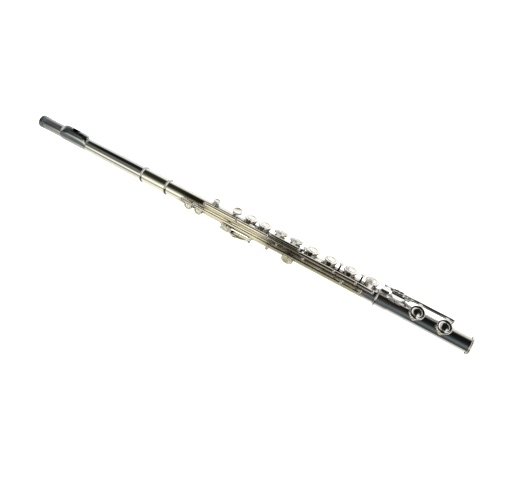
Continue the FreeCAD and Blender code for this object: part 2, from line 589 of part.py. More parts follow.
def left_hand_keys():
    nodes = {}
    x, turn, _ = BODY_HOLES["c_sharp"]
    hinge = {"turn": MAIN_TURN - turn}
    y, z = hinge_place(**hinge)
    button = turned(touch_disc(C_TOUCH_X, 0, C_TOUCH_R, C_TOUCH_LOW, 2.6), C_TOUCH_TILT - turn)
    inner_end = on_circle(C_TOUCH_LOW + 1.0, C_TOUCH_TILT - turn + 4)
    stalk = bent_bar([(y + 0.4, z + 1.0), inner_end], 1.8, C_TOUCH_X - 2.0, C_TOUCH_X + 2.0)
    arm = bent_bar([(y + 0.6, z + 0.6), (-(SMALL_CUP_R - 0.5), CUP_RIM + 1.1)], 1.7, x - 1.9, x + 1.9)
    arm = arm.cut(cavity(x, SMALL_CUP_R))
    whole = joined(rod(HINGE_TUBE_R, *C_SHARP_TUBE, y, z), button, stalk, arm, cup(x, SMALL_CUP_R))
    key = bored(whole, STEEL_R + GAP, **hinge)
    nodes["c_key"] = turned(opened(key, OPEN_DEG, **hinge), turn)
    nodes["c_sharp_pad"] = turned(opened(pad(x, SMALL_CUP_R), OPEN_DEG, **hinge), turn)

    y, z = hinge_place()
    inner = rod(INNER_TUBE_R, B_FLAT_COLLAR[0], B_FLAT_END[1], y, z)
    end = joined(hinge_tube(*B_FLAT_END), kicker(B_FLAT_END[0] + 0.3, B_FLAT_END[1]))
    lug = kicker(B_FLAT_COLLAR[1] - 4.0, B_FLAT_COLLAR[1])
    x = BODY_HOLES["b_flat"][0]
    nodes["b_flat_key"], nodes["b_flat_pad"] = stack_key([x], B_FLAT_COLLAR, 0, extras=(inner, end, lug))

    x = BODY_HOLES["a"][0]
    lug = kicker(A_TUBE[0], A_TUBE[0] + 4.0)
    nodes["a_key"], nodes["a_pad"] = stack_key([x], A_TUBE, 0, extras=(lug,), bore=INNER_TUBE_R + GAP)

    xs = [BODY_HOLES["g_upper"][0], BODY_HOLES["g_lower"][0]]
    nodes["g_key"], nodes["g_pads"] = stack_key(xs, G_TUBE, G_TURN)
    return nodes


def right_hand_keys():
    nodes = {}
    spans = {"f_sharp": F_SHARP_TUBE, "f": F_TUBE, "e": E_TUBE, "d": D_TUBE}
    lugs = {
        "f_sharp": (kicker(F_SHARP_TUBE[1] - 4.0, F_SHARP_TUBE[1]),),
        "f": (kicker(F_TUBE[0], F_TUBE[0] + 4.0),),
    }
    for name, span in spans.items():
        x = BODY_HOLES[name][0]
        key, pads = stack_key([x], span, 0, extras=lugs.get(name, ()))
        nodes[name + "_key"], nodes[name + "_pad"] = key, pads
    return nodes


def g_sharp_key():
    """A shut key: its cup is on the player's side and its touch on the far side, over the tube."""
    x, turn, _ = BODY_HOLES["g_sharp"]
    gap = GSHARP_ROD_TURN - turn
    y, z = on_circle(GSHARP_HINGE_R, gap)
    tube = rod(SMALL_TUBE_R, *G_SHARP_TUBE, y, z)
    arm_path = [(y - 0.9, z + 0.3), (SIDE_CUP_R + 1.0, CUP_RIM - 1.3), (SIDE_CUP_R - 0.4, CUP_RIM + 0.4)]
    arm = bent_bar(arm_path, 1.2, x - 2.2, x + 2.2)
    arm = arm.cut(cavity(x, SIDE_CUP_R))
    lever_path = [on_circle(GSHARP_HINGE_R, gap - 2)]
    lever_path += [on_circle(LEVER_R, gap - angle) for angle in (22, 46, 72, 98, 122, 141)]
    lever = bent_bar(lever_path, 1.6, LEVER_X - 1.3, LEVER_X + 1.3)
    spatula = bent_bar([lever_path[-1], on_circle(15.6, gap - 160)], 1.7, -247.0, LEVER_X + 1.3)
    whole = joined(tube, arm, cup(x, SIDE_CUP_R), lever, spatula)
    key = bored(whole, SMALL_STEEL_R + GAP, -1, GSHARP_HINGE_R, -gap)
    return {"g_sharp_key": turned(key, turn), "g_sharp_pad": turned(pad(x, SIDE_CUP_R), turn)}


def thumb_plate(span, outer_edge, outline, hinge):
    """A thumb touch: a leaf-shaped plate beside the tube, and the strap from its hinge tube.

    The outline is how far out the leaf reaches at its start, its middle and its end.
    """
    start, end = span
    inner_edge = THUMB_PLATE_INNER
    middle = ((inner_edge[0] + outer_edge[0]) / 2, (inner_edge[1] + outer_edge[1]) / 2)
    low = inner_edge[1] - 3
    window = Part.Wire([
        line((start, 10, low), (end, 10, low)),
        line((end, 10, low), (end, 10, outline[2])),
        arc((end, 10, outline[2]), ((start + end) / 2, 10, outline[1]), (start, 10, outline[0])),
        line((start, 10, outline[0]), (start, 10, low)),
    ])
    blade = bent_bar([inner_edge, outer_edge], 1.5, start, end)
    blade = blade.common(Part.Face(window).extrude(V(0, -30, 0)))
    strap = bent_bar([hinge, middle], 1.5, start + 1.0, start + 5.0)
    return joined(blade, strap)


def thumb_keys():
    """The B key with its cup and touch, and the B flat lever beside it, on one steel under the tube."""
    x = BODY_HOLES["thumb"][0]
    gap = THUMB_ROD_TURN - THUMB_TURN
    hinge = {"hinge_r": THUMB_HINGE_R, "turn": gap}
    y, z = hinge_place(**hinge)
    arm = bent_bar([(y, z + 0.6), (-(SIDE_CUP_R - 0.5), CUP_RIM + 1.1)], 1.8, x - 2.2, x + 2.2)
    arm = arm.cut(cavity(x, SIDE_CUP_R))
    touch = thumb_plate(THUMB_TOUCH, (-4.1, 18.0), (15.2, 18.3, 17.0), (y, z))
    whole = joined(rod(SMALL_TUBE_R, *THUMB_B_TUBE, y, z), touch, arm, cup(x, SIDE_CUP_R))
    key = bored(whole, SMALL_STEEL_R + GAP, **hinge)
    lever = thumb_plate(THUMB_FLAT_TOUCH, (-4.3, 17.0), (16.8, 15.6, 12.4), (y, z))
    flat = bored(joined(rod(SMALL_TUBE_R, *THUMB_B_FLAT_TUBE, y, z), lever), SMALL_STEEL_R + GAP, **hinge)
    shapes = {"thumb_b_key": key, "thumb_pad": pad(x, SIDE_CUP_R), "thumb_b_flat_lever": flat}
    return {name: turned(opened(shape, OPEN_DEG, **hinge), THUMB_TURN) for name, shape in shapes.items()}


def trill_key(x_cup, tube, name):
    """A shut key whose touch stands between two finger keys and whose cup is by the barrel."""
    x_touch = TRILL_TOUCHES[name]
    hinge_y, hinge_z = on_circle(TRILL_HINGE_R, TRILL_TURN)
    path = [(hinge_y + 0.7, hinge_z + 0.8), on_circle(12.8, 60.0), on_circle(13.2, 34.0)]
    path += [(-4.4, 15.8), (-3.0, 17.6)]
    arm = bent_bar(path, 1.6, x_touch - 1.2, x_touch + 1.2)
    button = Part.makeCylinder(3.1, 2.2, V(x_touch, 0, 17.0))
    button = button.makeFillet(0.9, [button.Edges[0]])
    stretch = FreeCAD.Matrix()
    stretch.A22 = 1.75
    button = button.transformGeometry(stretch)
    y, z = on_circle(TRILL_HINGE_R, TRILL_TURN - TRILL_CUP_TURN)
    cup_arm = bent_bar([(y, z - 0.3), (TRILL_CUP_R - 0.5, CUP_RIM + 1.1)], 1.7, x_cup - 1.8, x_cup + 1.8)
    cup_arm = cup_arm.cut(cavity(x_cup, TRILL_CUP_R))
    cup_side = turned(joined(cup(x_cup, TRILL_CUP_R), cup_arm), TRILL_CUP_TURN)
    key = joined(tube, arm, button, cup_side)
    return {name + "_key": key, name + "_pad": turned(pad(x_cup, TRILL_CUP_R), TRILL_CUP_TURN)}


def trill_keys():
    y, z = on_circle(TRILL_HINGE_R, TRILL_TURN)
    low, high = TRILL_END_POSTS
    long_rod = rod(TRILL_ROD_R, low + 1.55, high - 1.55, y, z)
    collars = [rod(TRILL_TUBE_R, start, end, y, z) for start, end in TRILL_COLLARS]
    x_cup = BODY_HOLES["d_sharp_trill"][0]
    nodes = trill_key(x_cup, joined(long_rod, *collars), "d_sharp_trill")
    start, end = D_TRILL_TUBE
    made = trill_key(BODY_HOLES["d_trill"][0], rod(TRILL_TUBE_R, start, end, y, z), "d_trill")
    made["d_trill_key"] = made["d_trill_key"].cut(rod(TRILL_ROD_R + GAP, start - 1, end + 1, y, z))
    nodes.update(made)
    return nodes


def roller(y, z):
    """A barrel-shaped roller on its pin."""
    start, end = ROLLER_SPAN
    middle = (start + end) / 2
    shoulder = z + ROLLER_R - 0.5
    edges = [
        line((start, y, z + ROLLER_BORE), (start, y, shoulder)),
        arc((start, y, shoulder), (middle, y, z + ROLLER_R), (end, y, shoulder)),
        line((end, y, shoulder), (end, y, z + ROLLER_BORE)),
        line((end, y, z + ROLLER_BORE), (start, y, z + ROLLER_BORE)),
    ]
    return spun(edges, V(0, y, z), X_AXIS)


def roller_cradle(pin, bar, arm_path, root_span):
    """What holds one roller: two ears and a pin, a bar beside it, and an arm back to the hinge tube."""
    left, right = ROLLER_SPAN[0] - 0.1, ROLLER_SPAN[1] + 0.1
    ears = [bent_bar([bar, pin], 1.7, left - EAR, left), bent_bar([bar, pin], 1.7, right, right + EAR)]
    rail = bent_bar([bar, (bar[0] + 0.1, bar[1])], 1.5, left - EAR, root_span[1])
    arm = bent_bar(arm_path + [bar], 1.5, *root_span)
    return joined(*ears, rod(ROLLER_BORE - GAP, left - 0.5, right + 0.5, *pin), rail, arm)


def low_keys():
    """Low C sharp and low C on one steel, with their roller touches."""
    side = -1
    y, z = hinge_place(side)
    nodes = {}
    sharp_pin, sharp_bar = [on_circle(radius, SHARP_ROLLER_TURN) for radius in (19.8, 16.8)]
    low_pin, low_bar = [on_circle(radius, LOW_ROLLER_TURN) for radius in (19.4, 16.4)]

    root = (LOW_C_SHARP_TUBE[0], LOW_C_SHARP_TUBE[0] + 3.0)
    cradle = roller_cradle(sharp_pin, sharp_bar, [(y - 0.6, z + 1.0)], root)
    x = FOOT_HOLES["low_c_sharp"][0]
    made = stack_key([x], LOW_C_SHARP_TUBE, FOOT_CUP_TURN, extras=(cradle,), bore=INNER_TUBE_R + GAP, side=side)
    nodes["low_c_sharp_key"], nodes["low_c_sharp_pad"] = made

    root = (LOW_C_INNER[0], LOW_C_INNER[0] + 3.0)
    cradle = roller_cradle(low_pin, low_bar, [(y - 0.8, z), (10.2, 9.3)], root)
    middle = (ROLLER_SPAN[0] + ROLLER_SPAN[1]) / 2
    half = (ROLLER_SPAN[1] - ROLLER_SPAN[0]) / 2 + EAR + 0.1
    guard = bent_bar([low_bar, (5.4, 16.5), (0.6, 17.2)], 1.4, middle - half, middle + half)
    left, right = middle - half - 0.5, middle + half + 0.5
    outline = Part.Wire([
        line((left, 12, 0), (left, 5.6, 0)),
        arc((left, 5.6, 0), (middle, 0.3, 0), (right, 5.6, 0)),
        line((right, 5.6, 0), (right, 12, 0)),
        line((right, 12, 0), (left, 12, 0)),
    ])
    guard = guard.common(Part.Face(outline).extrude(V(0, 0, 40)))
    extras = (rod(INNER_TUBE_R, *LOW_C_INNER, y, z), rod(HINGE_TUBE_R, *root, y, z), cradle, guard)
    made = stack_key([FOOT_HOLES["low_c"][0]], LOW_C_COLLAR, FOOT_CUP_TURN, extras=extras, side=side)
    nodes["low_c_key"], nodes["low_c_pad"] = made
    for name, pin in {"low_c_sharp_roller": sharp_pin, "low_c_roller": low_pin}.items():
        nodes[name] = turned(opened(roller(*pin), OPEN_DEG, side=side), FOOT_CUP_TURN)
    return nodes


def e_flat_key():
    """A shut key that see-saws on the foot steel: its touch near the player, its cup beyond."""
    x = FOOT_HOLES["e_flat"][0]
    y, z = hinge_place(1)
    top = on_circle(18.6, HINGE_TURN + 13)
    plate_path = [on_circle(radius, HINGE_TURN + angle) for radius, angle in EB_PLATE]
    root = bent_bar([(y - 0.2, z + 1.4), top, plate_path[1]], 1.6, EB_TUBE[0] + 0.2, EB_TOUCH[1] - 1.0)
    window = box(EB_TOUCH, (-4.6, 4.6), (5, 30))
    window = turned(window.makeFillet(2.4, upright_edges(window)), HINGE_TURN + 31)
    touch = bent_bar(plate_path, 1.6, *EB_TOUCH).common(window)
    key, pads = stack_key([x], EB_TUBE, EB_CUP_TURN, extras=(root, touch), standing=0.0)
    return {"e_flat_key": key, "e_flat_pad": pads}


def build():
    nodes = {}
    for section in (head_joint, crown_and_stopper, body_fixed, left_hand_keys, g_sharp_key, thumb_keys,
                    right_hand_keys, trill_keys, foot_fixed, low_keys, e_flat_key):
        nodes.update(section())
    return nodes


os.makedirs("parts", exist_ok=True)
for name, shape in build().items():
    solids = shape.Solids
    assert solids and all(s.isValid() for s in solids), name
    shape = solids[0] if len(solids) == 1 else Part.makeCompound(solids)
    shape.exportStep("parts/" + name + ".step")
    print(name, len(solids), round(shape.Volume, 1))
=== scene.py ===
import json
import math

import bpy
from mathutils import Matrix, Vector


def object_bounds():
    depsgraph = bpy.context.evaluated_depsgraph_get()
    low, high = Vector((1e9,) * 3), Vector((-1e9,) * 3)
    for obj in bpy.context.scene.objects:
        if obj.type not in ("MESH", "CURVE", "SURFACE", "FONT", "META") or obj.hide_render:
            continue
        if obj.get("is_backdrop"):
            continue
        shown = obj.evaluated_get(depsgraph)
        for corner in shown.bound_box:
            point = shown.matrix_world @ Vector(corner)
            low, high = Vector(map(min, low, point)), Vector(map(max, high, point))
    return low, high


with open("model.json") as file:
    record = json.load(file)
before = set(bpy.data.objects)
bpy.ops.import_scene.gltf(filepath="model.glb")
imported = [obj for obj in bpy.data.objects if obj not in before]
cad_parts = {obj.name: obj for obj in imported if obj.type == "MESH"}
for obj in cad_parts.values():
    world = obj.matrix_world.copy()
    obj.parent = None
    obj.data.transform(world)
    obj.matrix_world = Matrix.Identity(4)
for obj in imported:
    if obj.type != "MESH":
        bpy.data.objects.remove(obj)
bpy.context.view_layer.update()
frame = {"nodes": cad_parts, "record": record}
SCENE = bpy.context.scene

# ---------------------------------------------------------------- camera
IMAGE_W = 506.0                     # pixels
FOCAL_PX = 518.36                   # focal length, in pixels of that width
SENSOR_MM = 36.0
AZIMUTH, ELEVATION, ROLL = math.radians(13.80), math.radians(22.49), math.radians(22.81)
DISTANCE = 0.69615
MIDDLE = Vector((-0.335, 0.0, 0.0))  # middle of the flute
ASIDE, ABOVE = 0.03899, -0.02357    # how far the camera's target is from that middle
NEAREST, FARTHEST = 0.02, 60.0


def make_camera():
    level = math.cos(ELEVATION)
    back = Vector((math.sin(AZIMUTH) * level, -math.cos(AZIMUTH) * level, math.sin(ELEVATION)))
    right = (-back).cross(Vector((0, 0, 1))).normalized()
    up = right.cross(-back)
    target = MIDDLE + right * ASIDE + up * ABOVE
    place = target + back * DISTANCE
    rolled_right = right * math.cos(ROLL) + up * math.sin(ROLL)
    rolled_up = up * math.cos(ROLL) - right * math.sin(ROLL)
    turn = Matrix((rolled_right, rolled_up, back)).transposed().to_4x4()
    data = bpy.data.cameras.new("camera")
    data.sensor_width = SENSOR_MM
    data.lens = FOCAL_PX * SENSOR_MM / IMAGE_W
    data.clip_start, data.clip_end = NEAREST, FARTHEST
    camera = bpy.data.objects.new("camera", data)
    camera.matrix_world = Matrix.Translation(place) @ turn
    SCENE.collection.objects.link(camera)
    SCENE.camera = camera


# ---------------------------------------------------------------- node helpers
class Nodes:
    """Short names for building one node tree."""

    def __init__(self, tree):
        self.tree = tree
        tree.nodes.clear()

    def add(self, kind, **settings):
        node = self.tree.nodes.new(kind)
        for name, value in settings.items():
            if name in node.inputs:
                self.put(node.inputs[name], value)
            else:
                setattr(node, name, value)
        return node

    def put(self, socket, value):
        if isinstance(value, bpy.types.NodeSocket):
            self.tree.links.new(value, socket)
        elif isinstance(value, tuple) and len(value) == 3 and socket.type == "RGBA":
            socket.default_value = (*value, 1.0)
        else:
            socket.default_value = value

    def math(self, operation, a, b=0.0, c=0.0):
        node = self.tree.nodes.new("ShaderNodeMath")
        node.operation = operation
        for socket, value in zip(node.inputs, (a, b, c)):
            self.put(socket, value)
        return node.outputs[0]

    def ramp(self, factor, stops):
        """Colours or plain levels at rising positions from 0 to 1, straight between them."""
        node = self.tree.nodes.new("ShaderNodeValToRGB")
        node.color_ramp.interpolation = "LINEAR"
        elements = node.color_ramp.elements
        while len(elements) < len(stops):
            elements.new(0.5)
        for element, (position, colour) in zip(elements, stops):
            element.position = position
            element.color = (*colour, 1.0) if isinstance(colour, tuple) else (colour, colour, colour, 1.0)
        self.put(node.inputs[0], factor)
        return node.outputs[0]

    def step(self, value, start, end):
        """0 before start, 1 after end, smooth between them."""
        node = self.add("ShaderNodeMapRange", interpolation_type="SMOOTHSTEP")
        self.put(node.inputs["Value"], value)
        node.inputs["From Min"].default_value = start
        node.inputs["From Max"].default_value = end
        return node.outputs[0]

    def mix(self, factor, a, b):
        node = self.tree.nodes.new("ShaderNodeMix")
        node.data_type = "RGBA"
        node.blend_type = "MIX"
        self.put(node.inputs[0], factor)
        self.put(node.inputs[6], a)
        self.put(node.inputs[7], b)
        return node.outputs[2]

    def noise(self, vector, scale, detail=3.0, roughness=0.55, distortion=0.0):
        settings = {"Scale": scale, "Detail": detail, "Roughness": roughness, "Distortion": distortion}
        node = self.add("ShaderNodeTexNoise", **settings)
        self.put(node.inputs["Vector"], vector)
        return node.outputs[0]

    def cells(self, vector, scale, **settings):
        node = self.add("ShaderNodeTexVoronoi", Scale=scale, **settings)
        self.put(node.inputs["Vector"], vector)
        return node.outputs["Distance"]

    def stretched(self, vector, scale):
        node = self.add("ShaderNodeMapping")
        self.put(node.inputs["Vector"], vector)
        node.inputs["Scale"].default_value = scale
        return node.outputs[0]

    def place(self):
        return self.add("ShaderNodeTexCoord").outputs["Object"]

    def finish(self, shader):
        out = self.add("ShaderNodeOutputMaterial")
        self.tree.links.new(shader.outputs[0], out.inputs["Surface"])


def new_material(name):
    material = bpy.data.materials.new(name)
    material.use_nodes = True
    return material, Nodes(material.node_tree)


# ---------------------------------------------------------------- surroundings
# What the metal sees round it.  Each row is an angle and a colour (red, green, blue); the angle goes from
# straight up (0) over the player's side (90) and straight down (180) to the far side (270).
CROWN_END = [
    (0, 0.13, 0.135, 0.14), (15, 0.1, 0.105, 0.11), (40, 0.095, 0.1, 0.105), (55, 0.055, 0.06, 0.065),
    (75, 0.035, 0.04, 0.042), (90, 0.045, 0.052, 0.052), (108, 0.1, 0.11, 0.11), (124, 0.24, 0.25, 0.25),
    (140, 0.24, 0.25, 0.24), (166, 0.28, 0.3, 0.29), (190, 0.32, 0.34, 0.33), (230, 0.44, 0.45, 0.45),
    (285, 0.55, 0.56, 0.57), (315, 0.42, 0.43, 0.44), (335, 0.32, 0.33, 0.33), (350, 0.2, 0.205, 0.21),
]
HEAD_PART = [
    (0, 0.01, 0.011, 0.012), (30, 0.004, 0.005, 0.005), (40, 0.02, 0.022, 0.02), (52, 0.13, 0.135, 0.12),
    (64, 0.16, 0.165, 0.14), (76, 0.11, 0.115, 0.095), (86, 0.15, 0.15, 0.125), (93, 0.34, 0.34, 0.29),
    (101, 0.85, 0.86, 0.78), (110, 1.12, 1.13, 1.04), (118, 0.95, 0.95, 0.86), (126, 0.45, 0.45, 0.37),
    (134, 0.15, 0.15, 0.11), (142, 0.3, 0.3, 0.23), (152, 0.66, 0.66, 0.56), (166, 0.84, 0.86, 0.78),
    (215, 0.8, 0.81, 0.77), (300, 0.82, 0.84, 0.83), (328, 0.82, 0.84, 0.82), (340, 0.6, 0.62, 0.62),
    (350, 0.12, 0.125, 0.13),
]
BARREL_PART = [
    (0, 0.055, 0.055, 0.045), (14, 0.02, 0.021, 0.016), (50, 0.022, 0.022, 0.014),
    (62, 0.075, 0.075, 0.05), (74, 0.2, 0.2, 0.15), (86, 0.5, 0.49, 0.4), (94, 1, 1, 0.9),
    (112, 1.25, 1.24, 1.14), (122, 0.98, 0.97, 0.82), (130, 0.5, 0.49, 0.38), (138, 0.34, 0.33, 0.23),
    (148, 0.78, 0.76, 0.58), (164, 0.98, 0.97, 0.84), (215, 0.98, 0.98, 0.92), (300, 0.95, 0.97, 0.94),
    (335, 1.02, 1.02, 0.98), (347, 0.4, 0.4, 0.37),
]
TRILL_PART = [
    (0, 0.045, 0.042, 0.035), (14, 0.01, 0.009, 0.006), (50, 0.01, 0.009, 0.005),
    (62, 0.03, 0.026, 0.014), (74, 0.12, 0.11, 0.07), (86, 0.42, 0.4, 0.28), (97, 1.1, 1.07, 0.86),
    (114, 1.2, 1.16, 0.92), (124, 0.72, 0.68, 0.5), (136, 0.66, 0.62, 0.44), (152, 0.68, 0.64, 0.46),
    (166, 0.22, 0.19, 0.1), (186, 0.08, 0.06, 0.03), (212, 0.2, 0.17, 0.1), (240, 0.6, 0.58, 0.48),
    (300, 1, 1, 0.97), (335, 1, 1, 0.95), (347, 0.4, 0.39, 0.36),
]
CREAM_PART = [
    (0, 0.1, 0.09, 0.07), (16, 0.015, 0.013, 0.008), (48, 0.012, 0.01, 0.006), (58, 0.05, 0.04, 0.02),
    (68, 0.55, 0.5, 0.34), (80, 1.1, 1.04, 0.78), (104, 1.25, 1.18, 0.9), (122, 1, 0.92, 0.64),
    (134, 0.3, 0.25, 0.13), (144, 0.55, 0.48, 0.29), (158, 1.05, 0.98, 0.72), (186, 0.72, 0.66, 0.46),
    (214, 0.7, 0.66, 0.5), (228, 0.3, 0.28, 0.22), (246, 0.03, 0.028, 0.022), (270, 0.05, 0.048, 0.04),
    (282, 0.95, 0.94, 0.9), (300, 1.02, 1.02, 0.99), (332, 1, 0.99, 0.93), (350, 0.28, 0.26, 0.21),
]
BODY_PART = [
    (0, 0.02, 0.016, 0.01), (20, 0.008, 0.006, 0.003), (54, 0.008, 0.006, 0.003),
    (74, 0.035, 0.028, 0.016), (98, 0.075, 0.062, 0.042), (106, 0.06, 0.05, 0.035),
    (110, 0.42, 0.4, 0.34), (114, 0.42, 0.4, 0.34), (118, 0.06, 0.053, 0.036), (136, 0.2, 0.18, 0.12),
    (150, 0.34, 0.33, 0.2), (168, 0.34, 0.32, 0.19), (188, 0.45, 0.42, 0.28), (212, 0.78, 0.74, 0.6),
    (226, 0.36, 0.34, 0.28), (246, 0.03, 0.028, 0.022), (270, 0.05, 0.048, 0.04), (282, 1, 0.99, 0.95),
    (300, 1.02, 1.02, 0.99), (332, 0.98, 0.97, 0.91), (350, 0.12, 0.1, 0.07),
]
FOOT_PART = [
    (0, 0.02, 0.02, 0.016), (12, 0.007, 0.008, 0.006), (50, 0.007, 0.009, 0.009),
    (68, 0.016, 0.019, 0.021), (84, 0.045, 0.053, 0.06), (100, 0.125, 0.142, 0.155),
    (112, 0.135, 0.155, 0.168), (130, 0.082, 0.093, 0.104), (150, 0.045, 0.052, 0.056),
    (160, 0.09, 0.095, 0.1), (172, 0.46, 0.48, 0.49), (188, 0.8, 0.82, 0.83), (212, 0.84, 0.86, 0.86),
    (226, 0.36, 0.37, 0.37), (262, 0.32, 0.32, 0.32), (276, 0.9, 0.9, 0.89), (290, 1.05, 1.05, 1.03),
    (312, 0.82, 0.81, 0.78), (333, 0.66, 0.64, 0.6), (347, 0.2, 0.195, 0.185),
]
# the same, with a white card over the foot's socket that lights the little finger's touches from above
SOCKET_PART = [
    (0, 1, 1, 1), (10, 0.95, 0.95, 0.95), (16, 0.02, 0.02, 0.018), (50, 0.012, 0.012, 0.01),
    (68, 0.03, 0.028, 0.026), (84, 0.05, 0.055, 0.06), (100, 0.125, 0.14, 0.15),
    (112, 0.135, 0.155, 0.168), (130, 0.1, 0.11, 0.12), (150, 0.1, 0.11, 0.115), (164, 0.2, 0.205, 0.21),
    (176, 0.52, 0.54, 0.55), (190, 0.8, 0.82, 0.83), (212, 0.84, 0.86, 0.86), (226, 0.36, 0.37, 0.37),
    (262, 0.32, 0.32, 0.32), (276, 0.6, 0.59, 0.57), (300, 0.3, 0.27, 0.22), (318, 0.95, 0.95, 0.95),
]
# where each of those lies along the flute: (x part of the reflected direction, rows)
ROOM = [
    (-0.625, CROWN_END), (-0.545, HEAD_PART), (-0.48, HEAD_PART), (-0.44, BARREL_PART), (-0.39, BARREL_PART),
    (-0.365, TRILL_PART), (-0.35, TRILL_PART), (-0.325, CREAM_PART), (-0.235, CREAM_PART),
    (-0.185, BODY_PART), (-0.01, BODY_PART), (0.012, SOCKET_PART), (0.075, SOCKET_PART), (0.10, FOOT_PART),
]
# Both ends of the room are open: bright from a little under the horizon upwards, dark further down.
# Each end begins at the first x part and is full at the second.
ENDS = [(-0.72, -0.90), (0.23, 0.32)]
ENDS_BY_HEIGHT = [                  # from straight down (0) to straight up (1)
    (0.0, (0.20, 0.18, 0.14)), (0.22, (0.01, 0.009, 0.006)), (0.285, (0.03, 0.028, 0.020)),
    (0.315, (0.72, 0.71, 0.66)), (0.52, (0.90, 0.90, 0.87)), (1.0, (1.0, 1.0, 0.98)),
]
WORLD_STRENGTH = 1.03


def ring_of_light(n, turn, rows):
    """One list as a colour ramp round the flute, closed on itself."""
    stops = [(angle / 360, (red, green, blue)) for angle, red, green, blue in rows]
    stops.append((1.0, stops[0][1]))
    return n.ramp(turn, stops)


def make_world():
    world = bpy.data.worlds.new("studio")
    SCENE.world = world
    world.use_nodes = True
    n = Nodes(world.node_tree)
    direction = n.add("ShaderNodeTexCoord").outputs["Generated"]
    x, y, z = n.add("ShaderNodeSeparateXYZ", Vector=direction).outputs
    around = n.math("ARCTAN2", n.math("MULTIPLY", y, -1.0), z)
    turn = n.math("FRACT", n.math("ADD", n.math("DIVIDE", around, math.tau), 1.0))
    colour = ring_of_light(n, turn, ROOM[0][1])
    for (start, rows), (end, next_rows) in zip(ROOM, ROOM[1:]):
        if rows is not next_rows:
            colour = n.mix(n.step(x, start, end), colour, ring_of_light(n, turn, next_rows))
    end_colour = n.ramp(n.math("MULTIPLY_ADD", z, 0.5, 0.5), ENDS_BY_HEIGHT)
    for start, end in ENDS:
        colour = n.mix(n.step(x, start, end), colour, end_colour)
    background = n.add("ShaderNodeBackground", Color=colour, Strength=WORLD_STRENGTH)
    out = n.add("ShaderNodeOutputWorld")
    n.tree.links.new(background.outputs[0], out.inputs["Surface"])


# ---------------------------------------------------------------- table and surround
STAGE_SIZE = 14.0
STAGE_RINGS, STAGE_SIDES = 16, 48
TABLE_GAP = 0.0002                  # the table lies this far under the flute
TABLE_COLOUR, TABLE_GLOW = (0.96, 0.96, 0.96), 1.25
SURROUND_COLOUR, SURROUND_GLOW = (1.0, 1.0, 1.0), 1.3


def table_surface():
    """Pale matt paint with a faint grain, bright enough to hide its own horizon."""
    material, n = new_material("table_white")
    grain = n.noise(n.place(), 6.0, detail=2.0)
    tone = n.mix(grain, tuple(c * 0.985 for c in TABLE_COLOUR), TABLE_COLOUR)
    diffuse = n.add("ShaderNodeBsdfDiffuse", Color=tone, Roughness=0.6)
    light = n.add("ShaderNodeEmission", Color=tone, Strength=TABLE_GLOW)
    total = n.add("ShaderNodeAddShader")
    n.tree.links.new(diffuse.outputs[0], total.inputs[0])
    n.tree.links.new(light.outputs[0], total.inputs[1])
    n.finish(total)
    return material


def surround_surface():
    material, n = new_material("surround_white")
    n.finish(n.add("ShaderNodeEmission", Color=SURROUND_COLOUR, Strength=SURROUND_GLOW))
    return material


def stage_piece(name, corners, faces, material, place=(0, 0, 0)):
    """A piece of the stage, left out of the metal's reflections."""
    mesh = bpy.data.meshes.new(name)
    mesh.from_pydata(corners, [], faces)
    mesh.materials.append(material)
    piece = bpy.data.objects.new(name, mesh)
    piece.location = place
    SCENE.collection.objects.link(piece)
    piece.visible_glossy = False
    piece.visible_shadow = False
    return piece


def make_stage(level):
    """A pale table under the flute and a pale sphere round everything."""
    square = [(-STAGE_SIZE, -STAGE_SIZE, 0), (STAGE_SIZE, -STAGE_SIZE, 0),
              (STAGE_SIZE, STAGE_SIZE, 0), (-STAGE_SIZE, STAGE_SIZE, 0)]
    table = stage_piece("table", square, [(0, 1, 2, 3)], table_surface(), (MIDDLE.x, 0, level))

    corners, faces = [], []
    for i in range(STAGE_RINGS + 1):
        polar = math.pi * i / STAGE_RINGS
        radius, height = STAGE_SIZE * math.sin(polar), STAGE_SIZE * math.cos(polar)
        for j in range(STAGE_SIDES):
            a = math.tau * j / STAGE_SIDES
            corners.append((radius * math.cos(a), radius * math.sin(a), height))
    for i in range(STAGE_RINGS):
        first, second = i * STAGE_SIDES, (i + 1) * STAGE_SIDES
        for j in range(STAGE_SIDES):
            k = (j + 1) % STAGE_SIDES
            faces.append((first + j, first + k, second + k, second + j))
    surround = stage_piece("surround", corners, faces, surround_surface())
    surround.visible_diffuse = False
    for piece in (table, surround):
        piece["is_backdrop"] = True


def area_light(name, place, target, size, power):
    data = bpy.data.lights.new(name, "AREA")
    data.shape = "RECTANGLE"
    data.size, data.size_y = size
    data.energy = power
    light = bpy.data.objects.new(name, data)
    light.location = place
    aim = Vector(target) - Vector(place)
    light.rotation_mode = "QUATERNION"
    light.rotation_quaternion = aim.to_track_quat("-Z", "Y")
    light.visible_glossy = False
    SCENE.collection.objects.link(light)


# ---------------------------------------------------------------- materials
# near-black colour for corners and for the metal under rods and cups: painted shade, with some dark tarnish in
# the hollows
SHADE_AND_GRIME = (0.035, 0.028, 0.018)
EVERY_WAY, DRAWN = (1, 1, 1), (0.12, 1, 1)   # colour drift: even, or drawn out along the tube


